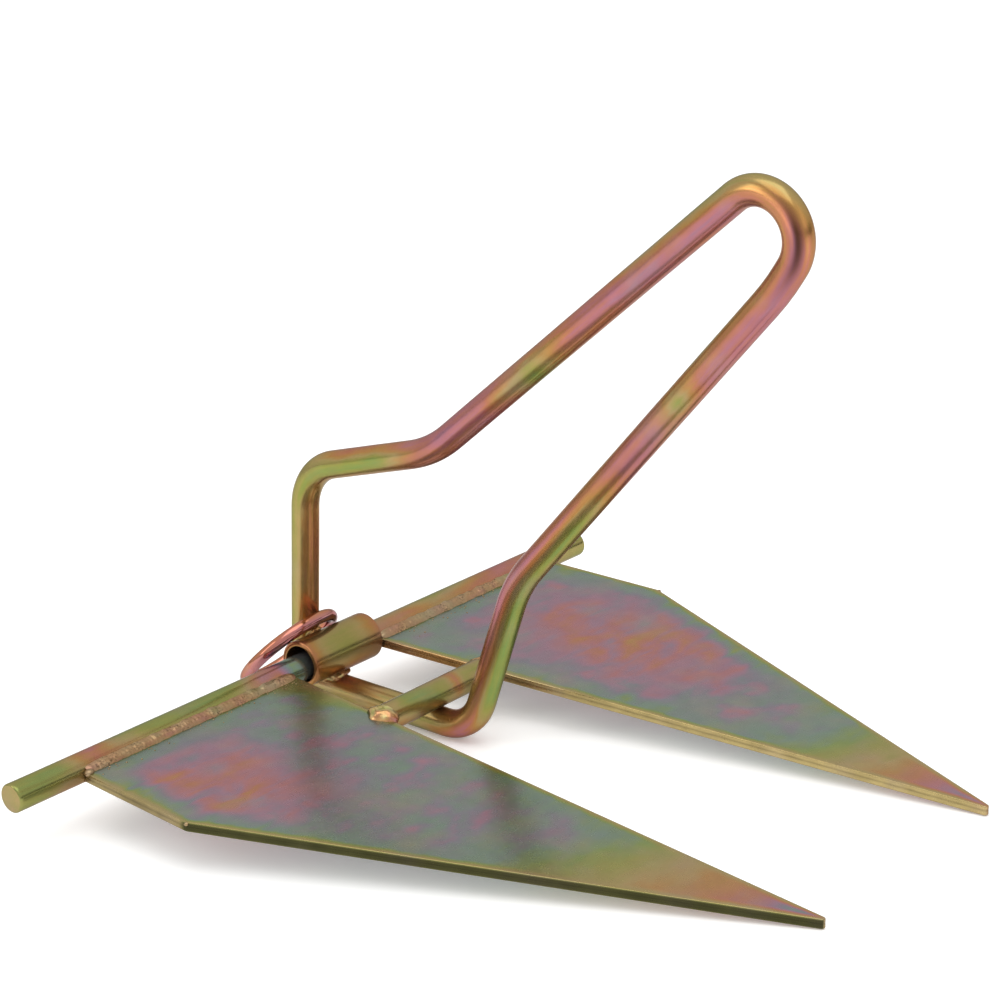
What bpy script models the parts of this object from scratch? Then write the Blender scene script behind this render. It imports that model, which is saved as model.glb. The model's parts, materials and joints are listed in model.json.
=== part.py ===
"""Slip-ring fluke anchor: a twin-fluke head that swings on a bent-rod shank.

The head is welded up from a round stock, two flat fluke plates and a cross rod. The shank is
one bent rod, welded at both ends to a short tube that turns loosely on the stock. The cross
rod passes through the shank's box and stops its swing both ways. A loose ring rides on the
shank's rear leg.

Everything is drawn in the head's own frame: the origin is on the stock's axis, midway between
the flukes, +X runs along the stock, +Y points to the fluke tips and +Z is normal to the flukes.
The whole head is then tipped so that the anchor stands on the floor on three points: the bend
of the shank's front leg and the two fluke tips.
"""
import math

import bmesh
import bpy
from mathutils import Matrix, Vector

MM = 0.001
FIT_GAP = 0.3 * MM            # clearance kept between pieces that touch or are welded
SLANT_GAP = 1.2 * FIT_GAP     # the same gap taken along X, at the plates' slanting inner edges

# round bar used for the stock, the cross rod and the shank
ROD_RADIUS = 6.0 * MM
ROD_CHAMFER = 0.6 * MM
ROD_SIDES = 32

# stock: the flukes sit a little off the middle of its length
STOCK_ENDS_X = (-170.5 * MM, 175.5 * MM)

# fluke plates: the right one, at +X; the left one is its mirror image
PLATE_THICKNESS = 4.0 * MM
PLATE_TOP = 0.9 * MM          # height of the upper face over the stock's axis
PLATE_BACK = ROD_RADIUS + FIT_GAP
INNER_CORNER_X = 26.0 * MM
OUTER_CORNER_X = 143.7 * MM
SHOULDER = (147.5 * MM, 66.3 * MM)
TIP = (54.8 * MM, 294.5 * MM)
TIP_RADIUS = 1.0 * MM
SHOULDER_RADIUS = 2.0 * MM
OUTLINE_STEP = math.radians(20.0)
ARRIS = 0.5 * MM

# cross rod, butted between the plates' inner edges at the middle of their thickness
CROSS_Y = 60.0 * MM

# hinge tube, loose on the stock and lifted by its play
TUBE_RADIUS = 10.2 * MM
TUBE_BORE_RADIUS = 7.9 * MM
TUBE_ENDS_X = (-24.0 * MM, 17.0 * MM)
TUBE_LIFT = 1.5 * MM
TUBE_CHAMFER = 0.4 * MM
TUBE_SIDES = 40

# shank: corners (y, z) and bend radii of its centre line, from the end of the rear leg,
# round the rope loop, to the end of the front leg
SHANK_X = -3.5 * MM
SHANK_CORNERS = (
    (-16.8, -6.0, 0.0),       # end of the rear leg, behind the tube
    (-13.4, 81.2, 24.3),      # rear corner of the box
    (58.4, 104.6, 60.0),      # rear neck
    (279.9, 302.2, 16.8),     # rope loop
    (222.1, 202.4, 100.0),    # slight set in the front arm
    (102.4, 58.7, 60.0),      # front neck
    (78.8, -13.0, 21.3),      # front corner of the box, which stands on the floor
    (-9.0, -15.25, 0.0),      # end of the front leg, under the tube
)
BEND_STEP = math.radians(7.5)

# slip ring: its plane leans on the tube, sloping down to the rear
RING_WIRE_RADIUS = 2.75 * MM
RING_RADIUS = 22.5 * MM       # to the middle of the wire
RING_CENTRE = (5.4 * MM, -17.7 * MM, 0.7 * MM)
RING_SLOPE = math.radians(47.7)
RING_YAW = math.radians(3.9)
RING_STEPS = 48
RING_SIDES = 16

# weld metal
BEAD_LEG = 4.0 * MM
BEAD_CROWN = 0.22             # bulge of the bead's face, as a share of its leg
BEAD_INSET = 1.2 * MM
SEAM_ARC_STEPS = 6
CROSS_WELD_SIZE = (6.5 * MM, 8.5 * MM, 7.3 * MM)
LEG_WELD_SIZE = (8.0 * MM, 7.0 * MM, 4.0 * MM)
LUMP_SEGMENTS = 20
LUMP_RINGS = 12
CUTTER_SIDES = 48

# faces that meet at more than this angle keep a crisp edge
SHARP_ANGLE = math.radians(40.0)
LUMP_SHARP_ANGLE = math.radians(60.0)


def clear_scene():
    for old in list(bpy.data.objects):
        bpy.data.objects.remove(old, do_unlink=True)


def make_material(name, colour, roughness):
    """Zinc plating with a coloured passivation: a metal with the piece's own tint."""
    material = bpy.data.materials.new(name)
    material.use_nodes = True
    shader = material.node_tree.nodes["Principled BSDF"]
    shader.inputs["Base Color"].default_value = (*colour, 1.0)
    shader.inputs["Metallic"].default_value = 0.9
    shader.inputs["Roughness"].default_value = roughness
    return material


def make_empty(name, parent=None):
    empty = bpy.data.objects.new(name, None)
    empty.empty_display_size = 0.02
    bpy.context.collection.objects.link(empty)
    empty.parent = parent
    return empty


def object_from_bmesh(name, bm, material, parent, sharp_angle=SHARP_ANGLE):
    """Link the finished mesh as a named object with its faces pointing out."""
    bmesh.ops.recalc_face_normals(bm, faces=bm.faces)
    mesh = bpy.data.meshes.new(name)
    bm.to_mesh(mesh)
    bm.free()
    mesh.shade_smooth()
    mesh.set_sharp_from_angle(angle=sharp_angle)
    mesh.materials.append(material)
    piece = bpy.data.objects.new(name, mesh)
    bpy.context.collection.objects.link(piece)
    piece.parent = parent
    return piece


def rounded_path(corners, step=BEND_STEP):
    """Turn (u, v, radius) corners into points on straights joined by tangent arcs."""
    points = [Vector(corners[0][:2])]
    for before, corner, after in zip(corners, corners[1:], corners[2:]):
        here = Vector(corner[:2])
        arriving = (here - Vector(before[:2])).normalized()
        leaving = (Vector(after[:2]) - here).normalized()
        turn = arriving.angle_signed(leaving)
        radius = corner[2]
        side = 1.0 if turn < 0.0 else -1.0
        to_centre = Vector((-arriving.y, arriving.x)) * side
        start = here - arriving * radius * math.tan(abs(turn) / 2.0)
        centre = start + to_centre * radius
        count = max(2, round(abs(turn) / step))
        for i in range(count + 1):
            angle = side * abs(turn) * i / count
            points.append(centre + Matrix.Rotation(angle, 2) @ (start - centre))
    points.append(Vector(corners[-1][:2]))
    return points


def sweep(name, stations, sides, material, parent, closed=False):
    """Sweep a circle through (point, radius) stations on a flat path."""
    points = [Vector(point) for point, _ in stations]
    count = len(points)
    first = points[1] - points[0]
    across = next(
        (first.cross(p - points[0]).normalized() for p in points[2:]
         if first.cross(p - points[0]).length > 1e-9),
        first.orthogonal().normalized(),
    )
    bm = bmesh.new()
    rings = []
    for i, (_, radius) in enumerate(stations):
        back = points[i] - points[i - 1] if closed or i else first
        ahead = points[(i + 1) % count] - points[i] if closed or i < count - 1 else back
        tangent = (back.normalized() + ahead.normalized()).normalized()
        normal = across.cross(tangent)
        ring = []
        for k in range(sides):
            angle = 2.0 * math.pi * k / sides
            offset = across * math.cos(angle) + normal * math.sin(angle)
            ring.append(bm.verts.new(points[i] + offset * radius))
        rings.append(ring)
    pairs = list(zip(rings, rings[1:]))
    if closed:
        pairs.append((rings[-1], rings[0]))
    for lower, upper in pairs:
        for k in range(sides):
            n = (k + 1) % sides
            bm.faces.new((lower[k], lower[n], upper[n], upper[k]))
    if not closed:
        bm.faces.new(rings[0])
        bm.faces.new(rings[-1])
    return object_from_bmesh(name, bm, material, parent)


def chamfered(points, radius, chamfer):
    """Stations for a bar along the points, with both cut ends chamfered."""
    points = [Vector(p) for p in points]
    inward = (points[1] - points[0]).normalized() * chamfer
    outward = (points[-1] - points[-2]).normalized() * chamfer
    middle = [(p, radius) for p in points[1:-1]]
    return (
        [(points[0], radius - chamfer), (points[0] + inward, radius)]
        + middle
        + [(points[-1] - outward, radius), (points[-1], radius - chamfer)]
    )


def build_rod(name, points, material, parent):
    return sweep(name, chamfered(points, ROD_RADIUS, ROD_CHAMFER), ROD_SIDES, material, parent)


def plate_outline():
    """Outline of the right fluke plate, anticlockwise from its inner rear corner."""
    corners = [
        (INNER_CORNER_X, PLATE_BACK),
        (OUTER_CORNER_X, PLATE_BACK),
        (*SHOULDER, SHOULDER_RADIUS),
        (*TIP, TIP_RADIUS),
        (INNER_CORNER_X, PLATE_BACK),
    ]
    bends = [c if len(c) == 3 else (*c, 0.0) for c in corners]
    rounded = rounded_path(bends[1:], step=OUTLINE_STEP)
    return [Vector(corners[0])] + rounded[:-1]


def inner_edge_x(y):
    """Distance of the right plate's straight inner edge from the middle plane."""
    slope = (TIP[0] - INNER_CORNER_X) / (TIP[1] - PLATE_BACK)
    return INNER_CORNER_X + slope * (y - PLATE_BACK)


def tip_end_y():
    """How far forward the rounded tip reaches."""
    inner = Vector((TIP[0] - INNER_CORNER_X, TIP[1] - PLATE_BACK))
    outer = Vector((TIP[0] - SHOULDER[0], TIP[1] - SHOULDER[1]))
    half = inner.angle(outer) / 2.0
    return TIP[1] - TIP_RADIUS * (1.0 / math.sin(half) - 1.0)


def build_plate(name, side, material, parent):
    bm = bmesh.new()
    bottom = PLATE_TOP - PLATE_THICKNESS
    face = bm.faces.new([bm.verts.new((side * p.x, p.y, bottom)) for p in plate_outline()])
    raised = bmesh.ops.extrude_face_region(bm, geom=[face])["geom"]
    top_verts = [v for v in raised if isinstance(v, bmesh.types.BMVert)]
    bmesh.ops.translate(bm, verts=top_verts, vec=(0.0, 0.0, PLATE_THICKNESS))
    plate = object_from_bmesh(name, bm, material, parent)
    bevel = plate.modifiers.new("arris", "BEVEL")
    bevel.width = ARRIS
    bevel.segments = 2
    bevel.limit_method = "ANGLE"
    return plate


def build_tube(material, parent):
    """Turned profile: outside, chamfered ends and bore, spun about the tube's axis."""
    low, high = TUBE_ENDS_X
    c = TUBE_CHAMFER
    profile = [
        (low, TUBE_BORE_RADIUS + c), (low, TUBE_RADIUS - c), (low + c, TUBE_RADIUS),
        (high - c, TUBE_RADIUS), (high, TUBE_RADIUS - c), (high, TUBE_BORE_RADIUS + c),
        (high - c, TUBE_BORE_RADIUS), (low + c, TUBE_BORE_RADIUS),
    ]
    bm = bmesh.new()
    rings = []
    for k in range(TUBE_SIDES):
        angle = 2.0 * math.pi * k / TUBE_SIDES
        rings.append([
            bm.verts.new((x, r * math.cos(angle), TUBE_LIFT + r * math.sin(angle)))
            for x, r in profile
        ])
    for k in range(TUBE_SIDES):
        here, there = rings[k], rings[(k + 1) % TUBE_SIDES]
        for i in range(len(profile)):
            n = (i + 1) % len(profile)
            bm.faces.new((here[i], here[n], there[n], there[i]))
    return object_from_bmesh("hinge_tube", bm, material, parent)


def shank_centre_line():
    corners = [(y * MM, z * MM, r * MM) for y, z, r in SHANK_CORNERS]
    return [Vector((SHANK_X, p.x, p.y)) for p in rounded_path(corners)]


def build_ring(material, parent):
    """Closed ring in a plane that slopes down to the rear, turned a little about Z."""
    yaw = Matrix.Rotation(RING_YAW, 3, "Z")
    sideways = yaw @ Vector((1.0, 0.0, 0.0))
    uphill = yaw @ Vector((0.0, math.cos(RING_SLOPE), math.sin(RING_SLOPE)))
    stations = []
    for i in range(RING_STEPS):
        angle = 2.0 * math.pi * i / RING_STEPS
        offset = sideways * math.cos(angle) + uphill * math.sin(angle)
        stations.append((Vector(RING_CENTRE) + offset * RING_RADIUS, RING_WIRE_RADIUS))
    return sweep("slip_ring", stations, RING_SIDES, material, parent, closed=True)


def seam_profile(face_height, up, leg):
    """Section of a bead in the corner between the stock and one face of a plate."""
    reach = ROD_RADIUS + FIT_GAP
    floor = face_height + up * FIT_GAP
    foot = math.asin(floor / reach)
    crest = foot + up * leg / reach
    points = [
        Vector((reach * math.cos(a), reach * math.sin(a)))
        for a in (foot + (crest - foot) * i / SEAM_ARC_STEPS for i in range(SEAM_ARC_STEPS + 1))
    ]
    toe = Vector((points[0].x + leg, floor))
    crown = (points[-1] + toe) / 2.0 + Vector((1.0, up)) * leg * BEAD_CROWN
    return points + [crown, toe]


def build_seam(name, side, face_height, up, material, parent):
    """Straight bead along the whole rear edge of a plate, tapered at both ends."""
    start = INNER_CORNER_X + BEAD_INSET
    end = OUTER_CORNER_X - BEAD_INSET
    stations = (
        (start, BEAD_LEG / 2.0), (start + BEAD_LEG, BEAD_LEG),
        (end - BEAD_LEG, BEAD_LEG), (end, BEAD_LEG / 2.0),
    )
    bm = bmesh.new()
    rings = []
    for x, leg in stations:
        section = seam_profile(face_height, up, leg)
        rings.append([bm.verts.new((side * x, p.x, p.y)) for p in section])
    for lower, upper in zip(rings, rings[1:]):
        for k in range(len(lower)):
            n = (k + 1) % len(lower)
            bm.faces.new((lower[k], lower[n], upper[n], upper[k]))
    bm.faces.new(rings[0])
    bm.faces.new(rings[-1])
    return object_from_bmesh(name, bm, material, parent)


def make_cutter(name, source, parent):
    source.name = name
    source.hide_render = True
    source.display_type = "WIRE"
    source.parent = parent
    return source


def plate_cutter(side, material, parent):
    """The plate grown by the fit gap on every face."""
    bm = bmesh.new()
    bottom = PLATE_TOP - PLATE_THICKNESS - FIT_GAP
    verts = [
        bm.verts.new((side * x, y, bottom))
        for x, y in (
            (inner_edge_x(0.0) - SLANT_GAP, 0.0),
            (OUTER_CORNER_X, 0.0),
            (SHOULDER[0], SHOULDER[1]),
            (TIP[0] - SLANT_GAP, TIP[1]),
        )
    ]
    face = bm.faces.new(verts)
    raised = bmesh.ops.extrude_face_region(bm, geom=[face])["geom"]
    top_verts = [v for v in raised if isinstance(v, bmesh.types.BMVert)]
    bmesh.ops.translate(
        bm, verts=top_verts, vec=(0.0, 0.0, PLATE_THICKNESS + 2.0 * FIT_GAP)
    )
    cutter = object_from_bmesh("cutter", bm, material, parent)
    return make_cutter(f"cutter_plate_{side:+.0f}", cutter, parent)


def bar_cutter(name, start, end, radius, material, parent):
    """A bar grown by the fit gap, that stands for a rod or the tube."""
    grown = radius + FIT_GAP
    bar = sweep(name, [(Vector(start), grown), (Vector(end), grown)], CUTTER_SIDES, material, parent)
    return make_cutter(name, bar, parent)


def build_lump(name, centre, size, cutters, material, parent):
    """An ellipsoid of weld metal with its neighbours cut out of it."""
    bm = bmesh.new()
    bmesh.ops.create_uvsphere(bm, u_segments=LUMP_SEGMENTS, v_segments=LUMP_RINGS, radius=1.0)
    bmesh.ops.transform(
        bm, verts=bm.verts,
        matrix=Matrix.Translation(centre) @ Matrix.Diagonal((*size, 1.0)),
    )
    lump = object_from_bmesh(name, bm, material, parent, sharp_angle=LUMP_SHARP_ANGLE)
    for cutter in cutters:
        cut = lump.modifiers.new(cutter.name, "BOOLEAN")
        cut.operation = "DIFFERENCE"
        cut.solver = "EXACT"
        cut.object = cutter
    return lump


def build_head(head):
    plate = make_material("fluke_zinc", (0.24, 0.22, 0.20), 0.38)
    rod = make_material("rod_zinc", (0.32, 0.26, 0.18), 0.32)
    weld = make_material("weld_zinc", (0.48, 0.42, 0.30), 0.45)
    build_rod("stock_rod", [(x, 0.0, 0.0) for x in STOCK_ENDS_X], rod, head)

    middle = PLATE_TOP - PLATE_THICKNESS / 2.0
    reach = inner_edge_x(CROSS_Y - ROD_RADIUS) - SLANT_GAP
    ends = [Vector((s * reach, CROSS_Y, middle)) for s in (1.0, -1.0)]
    build_rod("cross_rod", ends, rod, head)
    cross_cutter = bar_cutter("cutter_cross", ends[0] + Vector((FIT_GAP, 0.0, 0.0)),
                              ends[1] - Vector((FIT_GAP, 0.0, 0.0)), ROD_RADIUS, rod, head)

    for label, side in (("right", 1.0), ("left", -1.0)):
        build_plate(f"fluke_plate_{label}", side, plate, head)
        build_seam(f"weld_fluke_{label}_top", side, PLATE_TOP, 1.0, weld, head)
        build_seam(f"weld_fluke_{label}_under", side,
                   PLATE_TOP - PLATE_THICKNESS, -1.0, weld, head)
        cutters = [cross_cutter, plate_cutter(side, plate, head)]
        centre = (side * inner_edge_x(CROSS_Y), CROSS_Y, middle)
        build_lump(f"weld_cross_{label}", centre, CROSS_WELD_SIZE, cutters, weld, head)


def build_shank(hinge):
    rod = make_material("shank_zinc", (0.36, 0.23, 0.17), 0.30)
    tube = make_material("tube_zinc", (0.33, 0.27, 0.15), 0.35)
    weld = make_material("leg_weld_zinc", (0.40, 0.32, 0.20), 0.45)
    line = shank_centre_line()
    build_tube(tube, hinge)
    build_rod("shank_rod", line, rod, hinge)

    low, high = TUBE_ENDS_X
    tube_cutter = bar_cutter("cutter_tube", (low - MM, 0.0, TUBE_LIFT),
                             (high + MM, 0.0, TUBE_LIFT), TUBE_RADIUS, tube, hinge)
    legs = {"rear": (line[0], line[1]), "front": (line[-1], line[-2])}
    for label, (end, bend) in legs.items():
        along = (bend - end).normalized()
        foot = Vector((SHANK_X, 0.0, TUBE_LIFT)) - end
        contact = end + along * foot.dot(along)
        inward = (Vector((SHANK_X, 0.0, TUBE_LIFT)) - contact).normalized()
        centre = contact + inward * ROD_RADIUS
        leg_cutter = bar_cutter(f"cutter_{label}_leg", end - along * FIT_GAP, bend,
                                ROD_RADIUS, rod, hinge)
        # the lump is thin across the contact and wide in the two directions along it
        wide_x, wide_leg, thin = LEG_WELD_SIZE
        size = (wide_x, thin, wide_leg) if label == "rear" else (wide_x, wide_leg, thin)
        build_lump(f"weld_{label}_leg", centre, size, [tube_cutter, leg_cutter], weld, hinge)


def standing_angle():
    """Slope, in the head's frame, of the floor under the front bend and the fluke tips."""
    corners = [(y * MM, z * MM, r * MM) for y, z, r in SHANK_CORNERS]
    before, bend, after = (Vector(c[:2]) for c in corners[-3:])
    radius = corners[-2][2]
    arriving = (before - bend).normalized()
    leaving = (after - bend).normalized()
    half = arriving.angle(leaving) / 2.0
    centre = bend + (arriving + leaving).normalized() * radius / math.sin(half)
    tip = Vector((tip_end_y() - ARRIS, PLATE_TOP - PLATE_THICKNESS))
    line = tip - centre
    return math.atan2(line.y, line.x) + math.asin((radius + ROD_RADIUS) / line.length)


def stand_on_floor(head):
    """Level the floor, then put the origin at the bottom centre of the object's box."""
    head.rotation_euler = (-standing_angle(), 0.0, 0.0)
    bpy.context.view_layer.update()
    depsgraph = bpy.context.evaluated_depsgraph_get()
    corners = []
    for piece in bpy.data.objects:
        if piece.type == "MESH" and not piece.hide_render:
            evaluated = piece.evaluated_get(depsgraph)
            corners += [evaluated.matrix_world @ v.co for v in evaluated.data.vertices]
    low = Vector([min(c[i] for c in corners) for i in range(3)])
    high = Vector([max(c[i] for c in corners) for i in range(3)])
    head.location -= Vector(((low.x + high.x) / 2.0, (low.y + high.y) / 2.0, low.z))
    bpy.context.view_layer.update()


def main():
    clear_scene()
    head = make_empty("head_frame")
    hinge = make_empty("shank_hinge", head)
    slide = make_empty("ring_slide", hinge)
    build_head(head)
    build_shank(hinge)
    build_ring(make_material("ring_zinc", (0.50, 0.27, 0.18), 0.25), slide)
    stand_on_floor(head)


main()
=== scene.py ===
import json
import math

import bmesh
import bpy
import numpy as np
from mathutils import Matrix, Vector, noise


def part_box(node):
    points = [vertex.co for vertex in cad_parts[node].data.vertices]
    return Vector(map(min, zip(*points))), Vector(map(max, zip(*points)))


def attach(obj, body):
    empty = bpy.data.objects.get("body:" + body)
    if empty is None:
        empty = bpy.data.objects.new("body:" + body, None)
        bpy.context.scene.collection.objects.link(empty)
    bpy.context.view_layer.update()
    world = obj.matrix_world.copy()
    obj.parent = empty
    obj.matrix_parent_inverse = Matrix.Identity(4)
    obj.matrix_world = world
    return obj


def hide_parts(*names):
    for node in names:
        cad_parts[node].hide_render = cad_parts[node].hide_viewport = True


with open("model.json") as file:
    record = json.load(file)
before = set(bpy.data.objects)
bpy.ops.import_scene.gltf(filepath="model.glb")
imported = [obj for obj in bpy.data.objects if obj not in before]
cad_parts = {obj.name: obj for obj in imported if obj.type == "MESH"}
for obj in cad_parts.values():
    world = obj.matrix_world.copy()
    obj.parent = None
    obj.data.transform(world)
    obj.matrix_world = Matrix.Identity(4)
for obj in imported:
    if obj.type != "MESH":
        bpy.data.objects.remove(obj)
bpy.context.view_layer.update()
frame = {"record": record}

# Pieces are drawn in millimetres in the head's own frame: the origin is on the stock's axis,
# +X runs along the stock, +Y points to the fluke tips and +Z is normal to the flukes.
MM = 0.001
ROD = 6.0                     # radius of the stock, the cross rod and the shank
PLATE_TOP = 0.9
PLATE_BOTTOM = -3.1
PLATE_CORNERS = (             # (x, y, corner radius) of the right fluke
    (26.0, 6.1, 1.0),
    (143.7, 6.1, 1.2),
    (147.5, 66.3, 3.0),
    (54.8, 294.5, 1.4),
)
PLATE_ARRIS = 0.55            # radius of the plate's long edges
SHEAR_Z = -0.9                # line where the shear stopped cutting and the plate tore
SHEAR_WIDTH = 0.4
SHEAR_DEPTH = 0.06
CROSS_Y = 60.0
CROSS_Z = (PLATE_TOP + PLATE_BOTTOM) / 2.0
TUBE_RADIUS = 10.2
TUBE_BORE = 7.9
TUBE_LIFT = 1.5               # the tube hangs on the stock by this much of its play
SHANK_X = -3.5
SHANK_CORNERS = (             # (y, z, bend radius) of the shank's centre line
    (-16.8, -6.0, 0.0),
    (-13.4, 81.2, 24.3),
    (58.4, 104.6, 60.0),
    (279.9, 302.2, 16.8),
    (222.1, 202.4, 100.0),
    (102.4, 58.7, 60.0),
    (78.8, -13.0, 21.3),
    (-9.0, -15.25, 0.0),
)
RING_RADIUS = 22.5
RING_WIRE = 2.75
RING_SLOPE = math.radians(47.7)
RING_YAW = math.radians(3.9)
RING_CENTRE = Vector((5.4, -17.7, 0.7))


def box_centre(node):
    low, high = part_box(node)
    return (Vector(low) + Vector(high)) / 2.0


def head_matrix():
    """Head frame in millimetres to the row frame, from the hinge and the cross rod's place."""
    joint = next(j for j in frame["record"]["behaviour"]["joints"] if j["name"] == "shank_hinge")
    hinge = Vector(joint["pos_m"])
    to_cross = box_centre("cross_rod") - hinge
    pitch = math.atan2(CROSS_Z, CROSS_Y) - math.atan2(to_cross.z, to_cross.y)
    return Matrix.Translation(hinge) @ Matrix.Rotation(-pitch, 4, "X") @ Matrix.Scale(MM, 4)


HEAD = head_matrix()


def head_x(node):
    """Lowest and highest x of a CAD node, in millimetres of the head frame."""
    low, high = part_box(node)
    return (low[0] - HEAD.translation.x) / MM, (high[0] - HEAD.translation.x) / MM


# ---------------------------------------------------------------- materials

FILM = (                      # the film's interference colours, round one cycle
    (0.00, (164, 142, 90)),
    (0.12, (142, 142, 70)),
    (0.23, (120, 142, 76)),
    (0.35, (110, 136, 122)),
    (0.47, (122, 122, 134)),
    (0.58, (150, 114, 134)),
    (0.69, (168, 108, 114)),
    (0.79, (174, 112, 84)),
    (0.90, (170, 126, 70)),
    (1.00, (164, 142, 90)),
)


def linear(colour):
    """Linear RGBA of an 0-255 display colour."""
    def channel(c):
        c /= 255.0
        return c / 12.92 if c <= 0.04045 else ((c + 0.055) / 1.055) ** 2.4
    return tuple(channel(c) for c in colour) + (1.0,)


class Nodes:
    """Short calls that build one material's node tree."""

    def __init__(self, name):
        self.material = bpy.data.materials.new(name)
        self.material.use_nodes = True
        self.tree = self.material.node_tree
        self.shader = self.tree.nodes["Principled BSDF"]

    def add(self, kind, values=None, **settings):
        node = self.tree.nodes.new(kind)
        for key, value in settings.items():
            setattr(node, key, value)
        for socket, value in (values or {}).items():
            self.feed(node.inputs[socket], value)
        return node

    def feed(self, socket, value):
        if isinstance(value, bpy.types.NodeSocket):
            self.tree.links.new(value, socket)
        else:
            socket.default_value = value

    def attribute(self, name, output="Fac"):
        return self.add("ShaderNodeAttribute", attribute_name=name).outputs[output]

    def math(self, operation, a, b=0.0):
        return self.add("ShaderNodeMath", {0: a, 1: b}, operation=operation).outputs[0]

    def times(self, a, b):
        return self.math("MULTIPLY", a, b)

    def total(self, *values):
        result = values[0]
        for value in values[1:]:
            result = self.math("ADD", result, value)
        return result

    def scaled(self, vector, factors):
        node = self.add("ShaderNodeVectorMath", {0: vector, 1: factors}, operation="MULTIPLY")
        return node.outputs[0]

    def noise(self, place, size, detail=3.0, roughness=0.5, warp=0.0):
        """Noise from about -1 to 1 with features of the given size, one per axis, in mm."""
        sizes = size if isinstance(size, tuple) else (size, size, size)
        node = self.add("ShaderNodeTexNoise", {
            "Vector": self.scaled(place, tuple(1.0 / s for s in sizes)),
            "Scale": 1.0, "Detail": detail, "Roughness": roughness, "Distortion": warp,
        })
        return self.times(self.math("SUBTRACT", node.outputs["Fac"], 0.5), 3.2)

    def ramp(self, value, start, end, low=0.0, high=1.0, smooth=True):
        node = self.add("ShaderNodeMapRange", {
            "Value": value, "From Min": start, "From Max": end, "To Min": low, "To Max": high,
        })
        node.interpolation_type = "SMOOTHSTEP" if smooth else "LINEAR"
        return node.outputs[0]

    def film_colour(self, film):
        wrapped = self.math("FRACT", film)
        node = self.add("ShaderNodeValToRGB", {0: wrapped})
        ramp = node.color_ramp
        while len(ramp.elements) > 1:
            ramp.elements.remove(ramp.elements[-1])
        ramp.elements[0].position = FILM[0][0]
        ramp.elements[0].color = linear(FILM[0][1])
        for position, colour in FILM[1:]:
            ramp.elements.new(position).color = linear(colour)
        return node.outputs["Color"]

    def mix(self, factor, a, b):
        node = self.add("ShaderNodeMix", data_type="RGBA", blend_type="MIX")
        self.feed(node.inputs[0], factor)
        self.feed(node.inputs[6], a)
        self.feed(node.inputs[7], b)
        return node.outputs[2]

    def bump(self, height, distance, below=None):
        """Bump from a height of about -1 to 1, over a real distance in mm."""
        values = {"Height": height, "Strength": 1.0, "Distance": distance * MM}
        if below is not None:
            values["Normal"] = below
        return self.add("ShaderNodeBump", values).outputs["Normal"]


HAZE = (156, 138, 122)        # pale skin over the film, as a display colour
METAL_TINT = 0.5              # how far the metal keeps its colour at a grazing angle


def plating(name, film_of, gain, roughness, grain=0.004, streak=(1.0, 1.0, 1.0), fade=0.0,
            metal=0.82, pitted=False):
    """Zinc plate under an iridescent film. film_of(nodes, place) gives the film's phase.

    gain scales the colour, grain is the depth of the surface grain in millimetres and streak
    stretches it along each axis. fade is the least share of the film's colour that is lost to
    a pale haze, and pitted adds dark spots of painted shade in pits and bright specks of
    painted glint on the weld metal.
    """
    nodes = Nodes(name)
    place = nodes.attribute("place", "Vector")
    colour = nodes.film_colour(film_of(nodes, place))
    haze = nodes.ramp(nodes.noise(place, 26.0, 3.0, 0.5), -0.2, 0.9, fade, fade + 0.35)
    colour = nodes.mix(haze, colour, linear(HAZE))
    cloud = nodes.noise(place, 8.0, 4.0, 0.6)
    speck = nodes.noise(place, tuple(0.8 * s for s in streak), 2.0, 0.6)
    level = nodes.total(nodes.times(cloud, 0.07), nodes.times(speck, 0.04), 1.0)
    if pitted:
        # painted shade in pits and painted glints on the weld metal
        depth = nodes.ramp(nodes.noise(place, 11.0, 2.0, 0.5), -0.3, 0.5, 0.35, 1.4)
        pits = nodes.times(nodes.noise(place, 0.9, 3.0, 0.7), depth)
        pit_painted_shade = nodes.ramp(pits, -0.55, 0.0, 0.40, 1.0)
        painted_glints = nodes.ramp(pits, 0.15, 0.6, 0.0, 0.4)
        level = nodes.times(level, nodes.math("ADD", pit_painted_shade, painted_glints))
    # the tone attribute multiplies in painted light and shade
    level = nodes.times(level, nodes.attribute("tone"))
    shade = nodes.add("ShaderNodeVectorMath", {0: colour}, operation="SCALE")
    nodes.feed(shade.inputs["Scale"], nodes.times(level, gain))
    nodes.feed(nodes.shader.inputs["Base Color"], shade.outputs[0])
    nodes.shader.inputs["Metallic"].default_value = metal
    nodes.shader.inputs["Specular Tint"].default_value = (METAL_TINT,) * 3 + (1.0,)
    smear = nodes.noise(place, (5.0, 5.0, 5.0), 3.0, 0.6)
    spread = nodes.total(nodes.times(smear, 0.04), nodes.times(speck, 0.015), roughness)
    nodes.feed(nodes.shader.inputs["Roughness"], spread)
    wave = nodes.bump(nodes.noise(place, tuple(6.0 * s for s in streak), 2.0, 0.4), grain * 5.0)
    nodes.feed(nodes.shader.inputs["Normal"], nodes.bump(speck, grain, wave))
    return nodes.material


def rod_film(fine, slow):
    """Phase painted on the piece's points, broken up by fine streaks and a slow drift."""
    def film(nodes, place):
        streaks = nodes.noise(place, (16.0, 1.3, 1.3), 3.0, 0.6)
        drift = nodes.noise(place, (20.0, 6.0, 6.0), 3.0, 0.55, 0.3)
        return nodes.total(
            nodes.attribute("film"), nodes.times(streaks, fine), nodes.times(drift, slow), 1.0
        )
    return film


def edge_lines():
    """(normal x, normal y, offset) of each straight edge of the right fluke, pointing inward."""
    corners = [Vector(c[:2]) for c in PLATE_CORNERS]
    lines = []
    for here, there in zip(corners, corners[1:] + corners[:1]):
        along = (there - here).normalized()
        inward = Vector((-along.y, along.x))
        lines.append((inward.x, inward.y, inward.dot(here)))
    return lines


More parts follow.
